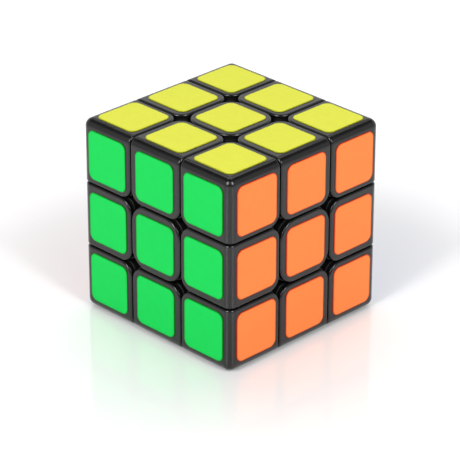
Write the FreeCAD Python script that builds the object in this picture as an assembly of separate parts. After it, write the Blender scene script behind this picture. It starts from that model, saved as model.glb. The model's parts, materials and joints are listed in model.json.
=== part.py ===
import FreeCAD, Part

import os
from itertools import combinations, product

from FreeCAD import Placement, Rotation, Vector

# A 3 x 3 x 3 twisty puzzle cube in millimetres. The origin is the centre of the core, +Z is the
# up (yellow) side, -Y the front (green) side and +X the right (orange) side.

# Driving dimensions
CUBE = 57.0  # over the stickers
STICKER_THICK = 0.2
STICKER_SIDE = 14.6
STICKER_CORNER = 2.1
STICKER_INSET = 0.53  # stickers on edges and corners sit this much nearer to the centre of the face
CLEARANCE = 0.17  # from each moving surface to the surface between two layers
OUTER_ROUND = 2.3  # rounding of the twelve long edges of the cube
WINDOW_ROUND = 3.8  # rounding of edges and corners at a window, where four cubies meet
CENTRE_ROUND = 5.5  # the same for a centre cap
LEDGE_STEP = 0.7  # how much tighter the roundings at a window are below the ledge
LEDGE_ROUND = 0.15
LIP_ROUND = 0.6  # rounding of the skin where it meets a cut between layers
WALL = 1.6  # moulded wall around a hollow
FOOT_SPHERE = 21.0  # feet turn inside this sphere, and the blocks of edges and centres outside it
CORE_SPHERE = 14.5  # feet stay outside this sphere
SLOT = 6.0  # half the width of the slot between the feet of two opposite layers
CAP_DEPTH = 1.7  # from the skin down to a centre cap's seam and to the ledges in the windows
CAP_FIT = 0.08  # play of the cap's plug in its base
PLUG_DEPTH = 2.2
STALK_RADIUS = 5.6
STALK_FLOOR = 1.4
SPRING_BORE = 3.7
CORE_BALL = 7.2
ARM_RADIUS = 3.4
ARM_LENGTH = 10.9
ARM_CHAMFER = 0.5
ARM_GAP = 0.2  # from the end of an arm to the stalk that turns on it
SCREW_RADIUS = 1.4
SCREW_TIP = 5.8  # from the centre of the core
SCREW_PLAY = 0.12
HEAD_RADIUS = 3.1
HEAD_THICK = 1.3
HEAD_SEAT = 19.6
RECESS_LENGTH = 3.6
RECESS_WIDTH = 0.8
RECESS_DEPTH = 0.8
WASHER_RADIUS = 3.3
WASHER_THICK = 0.4
STACK_GAP = 0.05  # between screw head, washer, spring and stalk floor
WIRE_RADIUS = 0.3
SPRING_RADIUS = 2.45
SPRING_TURNS = 5

# Worked out
pitch = CUBE / 3
cut = pitch / 2
skin = CUBE / 2 - STICKER_THICK  # the plastic faces
layer = cut + CLEARANCE  # where an outer layer starts
middle = cut - CLEARANCE  # half the width of a middle layer
foot_start = SLOT + CLEARANCE
neck_half = SLOT - CLEARANCE
foot_top = FOOT_SPHERE - CLEARANCE
block_bottom = FOOT_SPHERE + CLEARANCE
foot_bottom = CORE_SPHERE + CLEARANCE
seam = skin - CAP_DEPTH
base_round = CENTRE_ROUND - LEDGE_STEP
stalk_start = ARM_LENGTH + ARM_GAP
spring_floor = stalk_start + STALK_FLOOR
sticker_place = pitch - STICKER_INSET
SAME = 1e-6

UP, DOWN = Vector(0, 0, 1), Vector(0, 0, -1)
FRONT, BACK = Vector(0, -1, 0), Vector(0, 1, 0)
RIGHT, LEFT = Vector(1, 0, 0), Vector(-1, 0, 0)
SIDES = {"up": UP, "down": DOWN, "front": FRONT, "back": BACK, "left": LEFT, "right": RIGHT}
EDGES = [
    *(("up", side) for side in ("front", "back", "left", "right")),
    *(("down", side) for side in ("front", "back", "left", "right")),
    *product(("front", "back"), ("left", "right")),
]
CORNERS = list(product(("up", "down"), ("front", "back"), ("left", "right")))
CENTRE_HOME = UP
EDGE_HOME = UP + BACK
CORNER_HOME = UP + BACK + RIGHT


def block(x, y, z):
    """A box from three (low, high) pairs."""
    lows, highs = zip(x, y, z)
    size = [high - low for low, high in zip(lows, highs)]
    return Part.makeBox(*size, Vector(*lows))


def rod(radius, start, end):
    return Part.makeCylinder(radius, end - start, Vector(0, 0, start))


def ball(radius):
    return Part.makeSphere(radius)


def edges_at(shape, places):
    """The straight edges whose middle has, for one of the places, these values along two axes."""
    found = []
    for edge in shape.Edges:
        if edge.Degenerated or edge.Curve.TypeId != "Part::GeomLine":
            continue
        point = edge.valueAt((edge.FirstParameter + edge.LastParameter) / 2)
        for axes in places:
            if all(abs(point[axis] - value) < SAME for axis, value in axes.items()):
                found.append(edge)
                break
    return found


def rounded(shape, radius, places):
    return shape.makeFillet(radius, edges_at(shape, places))


def carried(shape, home, place):
    """A copy of the shape, turned by the quarter turns that carry one direction to another."""
    for quarters in product(range(4), repeat=3):
        turns = [Rotation(axis, 90 * count) for axis, count in zip((UP, RIGHT, BACK), quarters)]
        rotation = turns[0] * turns[1] * turns[2]
        if rotation.multVec(home).isEqual(place, SAME):
            copy = shape.copy()
            copy.Placement = Placement(Vector(), rotation).multiply(shape.Placement)
            return copy
    raise ValueError("no quarter turns carry this direction there")


def sticker(across, along):
    """A square sticker on the up side, with its middle at (across, along)."""
    half = STICKER_SIDE / 2
    plate = block((across - half, across + half), (along - half, along + half), (skin, CUBE / 2))
    places = [{0: across + a, 1: along + b} for a, b in product((-half, half), repeat=2)]
    return rounded(plate, STICKER_CORNER, places)


def walls(sides, inset=0):
    """Where a cubie with coloured sides along these axes faces others: (axis, place) pairs."""
    found = [(axis, layer + inset) for axis in sides]
    for axis in {0, 1, 2}.difference(sides):
        found += [(axis, inset - middle), (axis, middle - inset)]
    return found


def walled_block(sides, top, window, inset=0):
    """A block that reaches top on its coloured sides, rounded wherever two of its walls meet."""
    spans = [(inset - middle, middle - inset)] * 3
    for axis in sides:
        spans[axis] = (layer + inset, top)
    pairs = combinations(walls(sides, inset), 2)
    windows = [dict(pair) for pair in pairs if pair[0][0] != pair[1][0]]
    return rounded(block(*spans), window, windows)


def rims(sides, top):
    """Where the walls of a cubie meet its coloured sides."""
    places = product(walls(sides), sides)
    return [{axis: place, side: top} for (axis, place), side in places if axis != side]


def cubie_block(sides):
    """The outside of a cubie, which fills more of its windows below a ledge."""
    outer = walled_block(sides, skin, WINDOW_ROUND)
    outer = rounded(outer, OUTER_ROUND, [{a: skin, b: skin} for a, b in combinations(sides, 2)])
    outer = rounded(outer, LIP_ROUND, rims(sides, skin))
    inner = walled_block(sides, seam, WINDOW_ROUND - LEDGE_STEP)
    inner = rounded(inner, LEDGE_ROUND, rims(sides, seam))
    return outer.fuse(inner).removeSplitter()


def cubie_hollow(sides):
    return walled_block(sides, skin - WALL, WINDOW_ROUND - WALL, WALL)


def corner_cubie():
    """The up back right corner: a hollow block with three coloured sides, and its foot."""
    sides = (0, 1, 2)
    foot_span = (foot_start, FOOT_SPHERE)
    foot = block(foot_span, foot_span, foot_span).common(ball(foot_top)).cut(ball(foot_bottom))
    return cubie_block(sides).fuse(foot).removeSplitter().cut(cubie_hollow(sides))


def edge_cubie():
    """The up back edge: a hollow block with two coloured sides, a neck and its foot."""
    sides = (1, 2)
    body = cubie_block(sides).cut(ball(block_bottom))
    inner_width, foot_span = (-neck_half, neck_half), (foot_start, FOOT_SPHERE)
    foot = block(inner_width, foot_span, foot_span).common(ball(foot_top)).cut(ball(foot_bottom))
    neck_span = (layer, FOOT_SPHERE - WALL)
    neck = block(inner_width, neck_span, neck_span).cut(ball(foot_bottom))
    hollow = cubie_hollow(sides).cut(ball(block_bottom + WALL))
    return body.fuse([foot, neck]).removeSplitter().cut(hollow)


def square_bar(half, corner, low, high):
    """An upright square bar with rounded corners, centred on the up side."""
    span = (-half, half)
    corners = [{0: a, 1: b} for a, b in product(span, repeat=2)]
    return rounded(block(span, span, (low, high)), corner, corners)


def rounded_rim(bar, radius, top):
    """The bar of a centre, rounded around its top."""
    rim = [{axis: side, 2: top} for axis, side in product((0, 1), (-middle, middle))]
    return rounded(bar, radius, rim)


def centre_base():
    """The up centre without its cap: a square skirt on a stalk that turns on the core's arm."""
    body = square_bar(middle, base_round, SLOT, seam)
    body = rounded_rim(body, LEDGE_ROUND, seam).cut(ball(block_bottom))
    body = body.fuse(rod(STALK_RADIUS, stalk_start, seam)).removeSplitter()
    body = body.cut(square_bar(middle - WALL, base_round - WALL, block_bottom + WALL, seam))
    body = body.cut(rod(SPRING_BORE, spring_floor, seam))
    return body.cut(rod(SCREW_RADIUS + SCREW_PLAY, 0, seam))


def centre_cap():
    """The cap that closes the up centre, with a hollow square plug below it."""
    body = rounded_rim(square_bar(middle, CENTRE_ROUND, seam, skin), LIP_ROUND, skin)
    inset = WALL + CAP_FIT
    plug_bottom = seam - PLUG_DEPTH
    body = body.fuse(square_bar(middle - inset, base_round - inset, plug_bottom, seam))
    inset += WALL
    return body.cut(square_bar(middle - inset, base_round - inset, plug_bottom, seam))


def core_spider():
    """The core: a small ball with six arms, each with a hole for its screw."""
    arm = rod(ARM_RADIUS, 0, ARM_LENGTH)
    rims = [edge for edge in arm.Edges if abs(edge.CenterOfMass.z - ARM_LENGTH) < SAME]
    arm = arm.makeChamfer(ARM_CHAMFER, rims)
    hole = rod(SCREW_RADIUS + SCREW_PLAY, SCREW_TIP - STACK_GAP, ARM_LENGTH)
    arms = [carried(arm, CENTRE_HOME, side) for side in SIDES.values()]
    holes = [carried(hole, CENTRE_HOME, side) for side in SIDES.values()]
    return ball(CORE_BALL).fuse(arms).removeSplitter().cut(Part.makeCompound(holes))


def screw():
    """A pan-head screw with a cross recess, which holds a centre on its arm."""
    top = HEAD_SEAT + HEAD_THICK
    body = rod(SCREW_RADIUS, SCREW_TIP, HEAD_SEAT).fuse(rod(HEAD_RADIUS, HEAD_SEAT, top))
    depth = (top - RECESS_DEPTH, top)
    long, short = (-RECESS_LENGTH / 2, RECESS_LENGTH / 2), (-RECESS_WIDTH / 2, RECESS_WIDTH / 2)
    cross = block(long, short, depth).fuse(block(short, long, depth))
    return body.removeSplitter().cut(cross)


def washer():
    top = HEAD_SEAT - STACK_GAP
    low = top - WASHER_THICK
    return rod(WASHER_RADIUS, low, top).cut(rod(SCREW_RADIUS + SCREW_PLAY, low, top))


def spring():
    """A coil spring from the floor of the stalk up to the washer."""
    low = spring_floor + STACK_GAP + WIRE_RADIUS
    high = HEAD_SEAT - STACK_GAP - WASHER_THICK - STACK_GAP - WIRE_RADIUS
    height = high - low
    path = Part.makeHelix(height / SPRING_TURNS, height, SPRING_RADIUS)
    section = Part.Wire(Part.makeCircle(WIRE_RADIUS, Vector(SPRING_RADIUS, 0, 0), BACK))
    coil = Part.Wire(path).makePipeShell([section], True, True)
    coil.translate(Vector(0, 0, low))
    return coil


def tension_hardware():
    """The six screws with their washers and springs."""
    stack = Part.makeCompound([screw(), washer(), spring()])
    return Part.makeCompound([carried(stack, CENTRE_HOME, side) for side in SIDES.values()])


def turned_copies(shape, axis, count):
    """The shape and its copies, spread evenly round an axis through the centre of the cube."""
    copies = []
    for step in range(count):
        copy = shape.copy()
        copy.rotate(Vector(), axis, 360 / count * step)
        copies.append(copy)
    return Part.makeCompound(copies)


def save(name, shape):
    shape.exportStep("parts/" + name + ".step")


os.makedirs("parts", exist_ok=True)
save("core_spider", core_spider())
save("tension_hardware", tension_hardware())

centre_parts = {
    "_centre_base": centre_base(),
    "_centre_cap": centre_cap(),
    "_centre_sticker": sticker(0, 0),
}
for side, direction in SIDES.items():
    for kind, shape in centre_parts.items():
        save(side + kind, carried(shape, CENTRE_HOME, direction))

edge_parts = {
    "_edge": edge_cubie(),
    "_edge_stickers": turned_copies(sticker(0, sticker_place), EDGE_HOME, 2),
}
corner_parts = {
    "_corner": corner_cubie(),
    "_corner_stickers": turned_copies(sticker(sticker_place, sticker_place), CORNER_HOME, 3),
}
for places, home, pieces in ((EDGES, EDGE_HOME, edge_parts), (CORNERS, CORNER_HOME, corner_parts)):
    for sides in places:
        direction = sum((SIDES[side] for side in sides), Vector())
        for kind, shape in pieces.items():
            save("_".join(sides) + kind, carried(shape, home, direction))
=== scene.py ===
import json
from math import cos, pi, radians, sin

import bmesh
import bpy
from mathutils import Matrix, Vector

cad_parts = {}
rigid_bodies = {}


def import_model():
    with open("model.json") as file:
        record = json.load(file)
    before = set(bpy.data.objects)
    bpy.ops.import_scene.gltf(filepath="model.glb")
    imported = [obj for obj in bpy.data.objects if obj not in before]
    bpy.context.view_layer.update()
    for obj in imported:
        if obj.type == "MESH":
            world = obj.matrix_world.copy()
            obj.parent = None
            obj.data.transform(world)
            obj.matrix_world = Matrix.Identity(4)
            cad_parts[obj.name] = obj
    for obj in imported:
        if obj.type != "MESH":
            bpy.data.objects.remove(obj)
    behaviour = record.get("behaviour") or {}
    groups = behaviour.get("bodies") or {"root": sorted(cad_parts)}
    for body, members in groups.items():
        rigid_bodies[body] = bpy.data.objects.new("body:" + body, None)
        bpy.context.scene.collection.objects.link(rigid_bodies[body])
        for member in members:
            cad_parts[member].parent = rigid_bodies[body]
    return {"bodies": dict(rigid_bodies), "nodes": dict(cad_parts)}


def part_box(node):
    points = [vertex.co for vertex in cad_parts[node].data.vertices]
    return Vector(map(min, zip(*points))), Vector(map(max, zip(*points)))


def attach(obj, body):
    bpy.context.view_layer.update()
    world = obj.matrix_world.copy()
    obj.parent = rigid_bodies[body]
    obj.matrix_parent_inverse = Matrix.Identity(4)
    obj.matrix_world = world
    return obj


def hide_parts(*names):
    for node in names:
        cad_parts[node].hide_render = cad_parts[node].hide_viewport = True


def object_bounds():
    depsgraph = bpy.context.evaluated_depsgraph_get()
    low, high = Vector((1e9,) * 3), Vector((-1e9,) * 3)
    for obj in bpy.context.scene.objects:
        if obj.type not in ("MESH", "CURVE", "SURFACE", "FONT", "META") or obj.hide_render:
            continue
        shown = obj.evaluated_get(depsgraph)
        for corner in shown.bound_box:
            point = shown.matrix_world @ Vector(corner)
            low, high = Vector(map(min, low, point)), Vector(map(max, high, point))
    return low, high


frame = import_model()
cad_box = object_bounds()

# Everything is in metres and radians, except where a name or comment says degrees. +Z is the up
# (yellow) side of the cube, -Y the front (green) side and +X the right (orange) side.
MM = 0.001

UP, DOWN = Vector((0, 0, 1)), Vector((0, 0, -1))
FRONT, BACK = Vector((0, -1, 0)), Vector((0, 1, 0))
RIGHT, LEFT = Vector((1, 0, 0)), Vector((-1, 0, 0))
SIDES = {"up": UP, "down": DOWN, "front": FRONT, "back": BACK, "left": LEFT, "right": RIGHT}
COLOURS = {
    "up": ("yellow", (0.71, 0.728, 0.054)),
    "down": ("white", (0.84, 0.85, 0.85)),
    "front": ("green", (0.005, 0.61, 0.089)),
    "back": ("blue", (0.008, 0.10, 0.56)),
    "left": ("red", (0.62, 0.010, 0.022)),
    "right": ("orange", (0.95, 0.248, 0.061)),
}

# Sizes of the stickers, read from the frame
sticker_low, sticker_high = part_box("up_centre_sticker")
STICKER_HALF = sticker_high.x
STICKER_BOTTOM, STICKER_TOP = sticker_low.z, sticker_high.z
STICKER_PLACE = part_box("up_right_edge_stickers")[0].x + STICKER_HALF
# Chosen here, against the photo
STICKER_CORNER = 2.1 * MM
CORNER_STEPS = 14  # faces in each rounded corner
RIM_WIDTH = 0.42 * MM  # how far the painted shade of the cut edge reaches in

# Colours of the other materials
BLACK = (0.005, 0.0046, 0.0046)
CORE_GREY = (0.03, 0.03, 0.032)
STEEL, STEEL_DARK, STEEL_LIGHT = (0.62, 0.62, 0.6), (0.5, 0.5, 0.49), (0.68, 0.68, 0.66)
TABLE_WHITE = (0.93, 0.93, 0.93)
LIGHT_WHITE = (1, 1, 1, 1)

# Roughness. The black plastic is polished on its skin, and dull below: the skin ends between these
# two depths.
SKIN_ROUGHNESS, INNER_ROUGHNESS, CORE_ROUGHNESS = 0.2, 0.5, 0.4
SKIN_DEPTH = 0.9 * MM, 1.5 * MM
VINYL_ROUGHNESS = 0.38, 0.48
VINYL_GLOSS = 0.1
STEEL_ROUGHNESS = 0.2, 0.36
TABLE_ROUGHNESS = 0.08, 0.1
GLOSS_SPREAD = -0.04, 0.05  # how far the black plastic's gloss patches differ from its roughness
TABLE_IOR = 1.6

# The darkest and the lightest tone of a texture, as shares of the colour
FLOW_TONES = 0.8, 1.25
MOTTLE_TONES = 0.975, 1.015
# Painted shade on the cut rim of the vinyl: the same hue, darker and deeper, standing in for the shade on
# the film's edge.
RIM_SHADE_TONE, RIM_SHADE_DEEPENING = 0.75, 2.2

# How fine each texture is, in features per metre
FLOW_MARKS, GLOSS_PATCHES, MOULD_GRAIN = 90, 900, 9000
VINYL_MOTTLE, VINYL_PATCHES, VINYL_EMBOSS = 450, 1500, 5000
STEEL_TONE, STEEL_PATCHES, STEEL_GRAIN = 600, 2500, 12000
TABLE_PATCHES = 3

# How high each grain stands, as the shading shows it, and how strongly
MOULD_BUMP = 0.002 * MM, 0.3
VINYL_BUMP = 0.003 * MM, 0.5
STEEL_BUMP = 0.002 * MM, 0.5

# Most of a noise texture lies between these two values.
NOISE_MIDDLE = 0.3, 0.7

FLOOR_HEIGHT = cad_box[0].z
FLOOR_HALF = 4.0
# The table top's own light near the cube and far from it, and the distances from the cube's centre
# where it starts and stops growing
FLOOR_GLOW = 0.02, 0.19
GLOW_REACH = 0.05, 0.12


def linked(name, data):
    """A new object in the scene."""
    piece = bpy.data.objects.new(name, data)
    bpy.context.scene.collection.objects.link(piece)
    return piece


# ---------------------------------------------------------------- materials


def material(name, colour, roughness):
    """A new node material of this plain colour and roughness, with its nodes, links and main shader."""
    made = bpy.data.materials.new(name)
    made.use_nodes = True
    nodes, links = made.node_tree.nodes, made.node_tree.links
    shader = nodes["Principled BSDF"]
    shader.inputs["Base Color"].default_value = (*colour, 1)
    shader.inputs["Roughness"].default_value = roughness
    return made, nodes, links, shader


def noise(nodes, links, scale, detail=2.0, rough=0.5):
    """A noise texture that stays with its piece, with this many features per metre."""
    place = nodes.new("ShaderNodeTexCoord")
    texture = nodes.new("ShaderNodeTexNoise")
    texture.inputs["Scale"].default_value = scale
    texture.inputs["Detail"].default_value = detail
    texture.inputs["Roughness"].default_value = rough
    links.new(place.outputs["Object"], texture.inputs["Vector"])
    return texture.outputs["Fac"]


def ramp(nodes, links, source, start, end, low, high, shape="LINEAR"):
    """The source from start to end, mapped to low..high."""
    remap = nodes.new("ShaderNodeMapRange")
    remap.interpolation_type = shape
    remap.inputs["From Min"].default_value = start
    remap.inputs["From Max"].default_value = end
    remap.inputs["To Min"].default_value = low
    remap.inputs["To Max"].default_value = high
    links.new(source, remap.inputs["Value"])
    return remap.outputs["Result"]


def halfway(low, high):
    return (low + high) / 2


def spread(nodes, links, source, low, high):
    """The source's middle range, mapped to low..high."""
    return ramp(nodes, links, source, *NOISE_MIDDLE, low, high)


def calculated(nodes, links, operation, *values):
    """The result of a math node on these values, each a number or another node's output."""
    node = nodes.new("ShaderNodeMath")
    node.operation = operation
    for socket, value in zip(node.inputs, values):
        if isinstance(value, (int, float)):
            socket.default_value = value
        else:
            links.new(value, socket)
    return node.outputs["Value"]


def mixed(nodes, links, share, first, second):
    """A colour from first to second, by the share. Each is a colour or another node's output."""
    mix = nodes.new("ShaderNodeMix")
    mix.data_type = "RGBA"
    links.new(share, mix.inputs["Factor"])
    for socket, colour in ((mix.inputs["A"], first), (mix.inputs["B"], second)):
        if isinstance(colour, tuple):
            socket.default_value = (*colour, 1)
        else:
            links.new(colour, socket)
    return mix.outputs["Result"]


def bumped(nodes, links, shader, source, height, strength):
    """Raises the surface by the source, for its shading only."""
    bump = nodes.new("ShaderNodeBump")
    bump.inputs["Distance"].default_value = height
    bump.inputs["Strength"].default_value = strength
    links.new(source, bump.inputs["Height"])
    links.new(bump.outputs["Normal"], shader.inputs["Normal"])


def scaled(colour, share):
    """The colour made darker or lighter."""
    return tuple(min(1.0, channel * share) for channel in colour)


def hidden_share(nodes, links):
    """0 on the cube's skin and 1 from a little below it, in the windows and on the feet."""
    split = nodes.new("ShaderNodeSeparateXYZ")
    links.new(nodes.new("ShaderNodeTexCoord").outputs["Object"], split.inputs["Vector"])
    across, along, up = (calculated(nodes, links, "ABSOLUTE", split.outputs[axis]) for axis in "XYZ")
    level = calculated(nodes, links, "MAXIMUM", across, along)
    furthest = calculated(nodes, links, "MAXIMUM", level, up)
    shallow, deep = (cad_box[1].z - depth for depth in SKIN_DEPTH)
    return ramp(nodes, links, furthest, deep, shallow, 1, 0, "SMOOTHSTEP")


def moulded_plastic(name, colour, skin_roughness, inner_roughness):
    """Moulded plastic: faint flow marks, a fine grain, uneven gloss, and a skin with its own polish."""
    made, nodes, links, shader = material(name, colour, skin_roughness)
    flow = spread(nodes, links, noise(nodes, links, FLOW_MARKS, detail=3), 0, 1)
    tint = mixed(nodes, links, flow, *(scaled(colour, tone) for tone in FLOW_TONES))
    links.new(tint, shader.inputs["Base Color"])
    patches = noise(nodes, links, GLOSS_PATCHES, detail=4, rough=0.6)
    gloss = spread(nodes, links, patches, *(skin_roughness + change for change in GLOSS_SPREAD))
    duller = inner_roughness - skin_roughness
    gloss = calculated(nodes, links, "MULTIPLY_ADD", hidden_share(nodes, links), duller, gloss)
    links.new(gloss, shader.inputs["Roughness"])
    bumped(nodes, links, shader, noise(nodes, links, MOULD_GRAIN), *MOULD_BUMP)
    return made


def vinyl(name, colour):
    """Printed vinyl film: a soft mottle, a fine emboss, and painted shade at the cut rim, a darker and
    deeper tone.
    """
    made, nodes, links, shader = material(name, colour, halfway(*VINYL_ROUGHNESS))
    shader.inputs["Specular IOR Level"].default_value = VINYL_GLOSS
    mottle = spread(nodes, links, noise(nodes, links, VINYL_MOTTLE, detail=5, rough=0.65), 0, 1)
    face = mixed(nodes, links, mottle, *(scaled(colour, tone) for tone in MOTTLE_TONES))
    # Painted shade: a per-vertex mask darkens the cut rim to a deeper tone of the sticker's colour.
    rim = nodes.new("ShaderNodeAttribute")
    rim.attribute_name = "rim"
    deep = tuple(RIM_SHADE_TONE * channel ** RIM_SHADE_DEEPENING for channel in colour)
    links.new(mixed(nodes, links, rim.outputs["Fac"], face, deep), shader.inputs["Base Color"])
    patches = noise(nodes, links, VINYL_PATCHES, detail=3)
    links.new(spread(nodes, links, patches, *VINYL_ROUGHNESS), shader.inputs["Roughness"])
    bumped(nodes, links, shader, noise(nodes, links, VINYL_EMBOSS, detail=3), *VINYL_BUMP)
    return made


def plated_steel(name):
    """Zinc-plated steel with a fine turned grain."""
    made, nodes, links, shader = material(name, STEEL, halfway(*STEEL_ROUGHNESS))
    shader.inputs["Metallic"].default_value = 1.0
    tone = spread(nodes, links, noise(nodes, links, STEEL_TONE, detail=4), 0, 1)
    tint = mixed(nodes, links, tone, STEEL_DARK, STEEL_LIGHT)
    links.new(tint, shader.inputs["Base Color"])
    patches = noise(nodes, links, STEEL_PATCHES, detail=3)
    links.new(spread(nodes, links, patches, *STEEL_ROUGHNESS), shader.inputs["Roughness"])
    bumped(nodes, links, shader, noise(nodes, links, STEEL_GRAIN), *STEEL_BUMP)
    return made


def table_top(name):
    """A white glossy table top, with a little light of its own that grows away from the cube."""
    made, nodes, links, shader = material(name, TABLE_WHITE, halfway(*TABLE_ROUGHNESS))
    shader.inputs["IOR"].default_value = TABLE_IOR
    gloss = spread(nodes, links, noise(nodes, links, TABLE_PATCHES), *TABLE_ROUGHNESS)
    links.new(gloss, shader.inputs["Roughness"])
    distance = nodes.new("ShaderNodeVectorMath")
    distance.operation = "LENGTH"
    links.new(nodes.new("ShaderNodeTexCoord").outputs["Object"], distance.inputs[0])
    glow = ramp(nodes, links, distance.outputs["Value"], *GLOW_REACH, *FLOOR_GLOW, "SMOOTHSTEP")
    shader.inputs["Emission Color"].default_value = LIGHT_WHITE
    links.new(glow, shader.inputs["Emission Strength"])
    return made


# ---------------------------------------------------------------- stickers


def rounded_square(half, radius):
    """The points of a square with rounded corners, anticlockwise."""
    points = []
    for corner in range(4):
        middle = Vector((half - radius, half - radius, 0))
        middle.rotate(Matrix.Rotation(corner * pi / 2, 3, "Z"))
        for step in range(CORNER_STEPS + 1):
            angle = (corner + step / CORNER_STEPS) * pi / 2
            points.append(middle + radius * Vector((cos(angle), sin(angle), 0)))
    return points


def sticker_mesh(name):
    """A sticker lying on the up side at its centre: a thin film with a softly rounded cut edge."""
    thick = STICKER_TOP - STICKER_BOTTOM
    rings = [  # inset from the cut edge, height above the plastic, share of the painted rim shade
        (0.0, 0.0, 1.0),
        (0.0, 0.55 * thick, 1.0),
        (0.12 * thick, 0.8 * thick, 1.0),
        (0.4 * thick, 0.95 * thick, 0.9),
        (0.9 * thick, thick, 0.6),
        (RIM_WIDTH, thick, 0.0),
        (3 * RIM_WIDTH, thick, 0.0),
    ]
    mesh = bpy.data.meshes.new(name)
    shape = bmesh.new()
    # Per-vertex share of the painted shade on the cut rim.
    tone = shape.verts.layers.float.new("rim")
    loops = []
    for inset, height, share in rings:
        loop = []
        for point in rounded_square(STICKER_HALF - inset, STICKER_CORNER - inset):
            vert = shape.verts.new(point + Vector((0, 0, STICKER_BOTTOM + height)))
            vert[tone] = share
            loop.append(vert)
        loops.append(loop)
    for outer, inner in zip(loops, loops[1:]):
        for here in range(len(outer)):
            after = (here + 1) % len(outer)
            shape.faces.new((outer[here], outer[after], inner[after], inner[here]))
    shape.faces.new(loops[-1])
    shape.faces.new(reversed(loops[0]))
    for face in shape.faces:
        face.smooth = len(face.verts) == 4
    shape.to_mesh(mesh)
    shape.free()
    return mesh


def facing(side):
    """The turn that carries the up side to another side."""
    return UP.rotation_difference(SIDES[side]).to_matrix()


def add_sticker(side, body, node, finish):
    """One sticker on one side of one cubie, named after its colour and the cubie's sides."""
    others = [part for part in body.split("_")[:-1] if part != side]
    offset = sum((SIDES[part] for part in others), Vector()) * STICKER_PLACE
    place = Matrix.Translation(offset) @ facing(side).to_4x4()
    colour = COLOURS[side][0]
    mesh = sticker_mesh("_".join((colour, "sticker", side, *others)))
    mesh.transform(place)
    mesh.materials.append(finish[side])
    piece = linked(mesh.name, mesh)
    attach(piece, body)
    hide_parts(node)


def add_stickers():
    """A sticker on every outer side of every cubie. A cubie's name lists its outer sides first."""
    finish = {side: vinyl(name + "_vinyl", colour) for side, (name, colour) in COLOURS.items()}
    for body in frame["bodies"]:
        kind = body.split("_")[-1]
        if kind == "core":
            continue
        node = body + ("_sticker" if kind == "centre" else "_stickers")
        for side in body.split("_")[:-1]:
            add_sticker(side, body, node, finish)


# ---------------------------------------------------------------- plastic and steel


def paint(node, finish):
    """Gives a CAD node its material."""
    mesh = frame["nodes"][node].data
    mesh.materials.clear()
    mesh.materials.append(finish)


def finish_cad_nodes():
    black = moulded_plastic("black_satin_plastic", BLACK, SKIN_ROUGHNESS, INNER_ROUGHNESS)
    grey = moulded_plastic("core_plastic", CORE_GREY, CORE_ROUGHNESS, CORE_ROUGHNESS)
    steel = plated_steel("plated_steel")
    for node in frame["nodes"]:
        if "sticker" in node:
            continue
        if node == "core_spider":
            paint(node, grey)
        elif node == "tension_hardware":
            paint(node, steel)
        else:
            paint(node, black)


# ---------------------------------------------------------------- studio

# Azimuth 0 looks from the front side, and grows towards the right side.
CAMERA_AZIMUTH = radians(45.3)
CAMERA_ELEVATION = radians(26.5)
CAMERA_ROLL = radians(0.09)
CAMERA_DISTANCE = 0.762
CAMERA_AIM = Vector((-0.13 * MM, -0.13 * MM, -5.4 * MM))
CAMERA_LENS, SENSOR_WIDTH = 217.7, 36  # mm
CLIP_START, CLIP_END = 0.01, 20

# The room: a white backdrop behind the cube, darker behind the camera and dark overhead, which the
# rounded edges of the cube reflect as a dark band.
BACKDROP_LIGHT, CAMERA_SIDE_LIGHT, CEILING_SHARE = 1.05, 0.19, 0.1
WALL_TOP, CEILING_START = sin(radians(27)), sin(radians(46))
LIGHTS = [  # name, azimuth and elevation in degrees, distance, width, height, watts
    ("front_left_softbox", 6, 34, 2.0, 1.5, 1.3, 10.5),
    ("front_left_lamp", 6, 37, 1.9, 0.4, 1.1, 15.5),
    ("front_right_softbox", 84, 34, 2.0, 1.5, 1.3, 8.5),
    ("front_right_lamp", 84, 37, 1.9, 0.4, 1.1, 12.8),
    ("back_panel", 225, 64, 2.0, 1.6, 1.2, 10.5),
]


def direction(azimuth, elevation):
    """The direction from the cube towards something at this azimuth and elevation."""
    level = cos(elevation)
    return Vector((sin(azimuth) * level, -cos(azimuth) * level, sin(elevation)))


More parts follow.
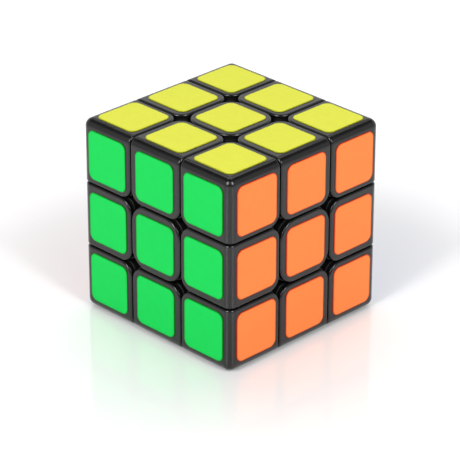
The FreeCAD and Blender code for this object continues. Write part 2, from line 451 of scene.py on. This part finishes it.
def add_camera():
    camera = bpy.data.cameras.new("camera")
    camera.lens = CAMERA_LENS
    camera.sensor_width = SENSOR_WIDTH
    camera.clip_start = CLIP_START
    camera.clip_end = CLIP_END
    piece = linked("camera", camera)
    back = direction(CAMERA_AZIMUTH, CAMERA_ELEVATION)
    look = (-back).to_track_quat("-Z", "Y").to_matrix() @ Matrix.Rotation(CAMERA_ROLL, 3, "Z")
    piece.matrix_world = Matrix.Translation(CAMERA_AIM + back * CAMERA_DISTANCE) @ look.to_4x4()
    bpy.context.scene.camera = piece


def add_lights():
    """Rectangular lights, all facing the cube."""
    for name, azimuth, elevation, distance, width, height, watts in LIGHTS:
        light = bpy.data.lights.new(name, "AREA")
        light.shape = "RECTANGLE"
        light.size = width
        light.size_y = height
        light.energy = watts
        piece = linked(name, light)
        towards = direction(radians(azimuth), radians(elevation))
        piece.location = towards * distance
        piece.rotation_euler = (-towards).to_track_quat("-Z", "Y").to_euler()


def add_room():
    """The backdrop and the ceiling, as world light that depends on direction only."""
    world = bpy.data.worlds.new("studio")
    world.use_nodes = True
    nodes, links = world.node_tree.nodes, world.node_tree.links
    place = nodes.new("ShaderNodeTexCoord").outputs["Generated"]
    away = nodes.new("ShaderNodeVectorMath")
    away.operation = "DOT_PRODUCT"
    away.inputs[1].default_value = -direction(CAMERA_AZIMUTH, 0)
    links.new(place, away.inputs[0])
    split = nodes.new("ShaderNodeSeparateXYZ")
    links.new(place, split.inputs["Vector"])
    wall = ramp(nodes, links, away.outputs["Value"], -1, 1, CAMERA_SIDE_LIGHT, BACKDROP_LIGHT)
    ceiling = ramp(nodes, links, split.outputs["Z"], WALL_TOP, CEILING_START, 1, CEILING_SHARE, "SMOOTHSTEP")
    light = calculated(nodes, links, "MULTIPLY", wall, ceiling)
    links.new(light, nodes["Background"].inputs["Strength"])
    nodes["Background"].inputs["Color"].default_value = LIGHT_WHITE
    bpy.context.scene.world = world


def add_floor():
    mesh = bpy.data.meshes.new("floor")
    signs = [(-1, -1), (1, -1), (1, 1), (-1, 1)]
    corners = [(x * FLOOR_HALF, y * FLOOR_HALF, FLOOR_HEIGHT) for x, y in signs]
    mesh.from_pydata(corners, [], [(0, 1, 2, 3)])
    mesh.materials.append(table_top("white_table"))
    linked("floor", mesh)


add_stickers()
finish_cad_nodes()
add_floor()
add_lights()
add_room()
add_camera()
bpy.context.scene.view_settings.view_transform = "Standard"
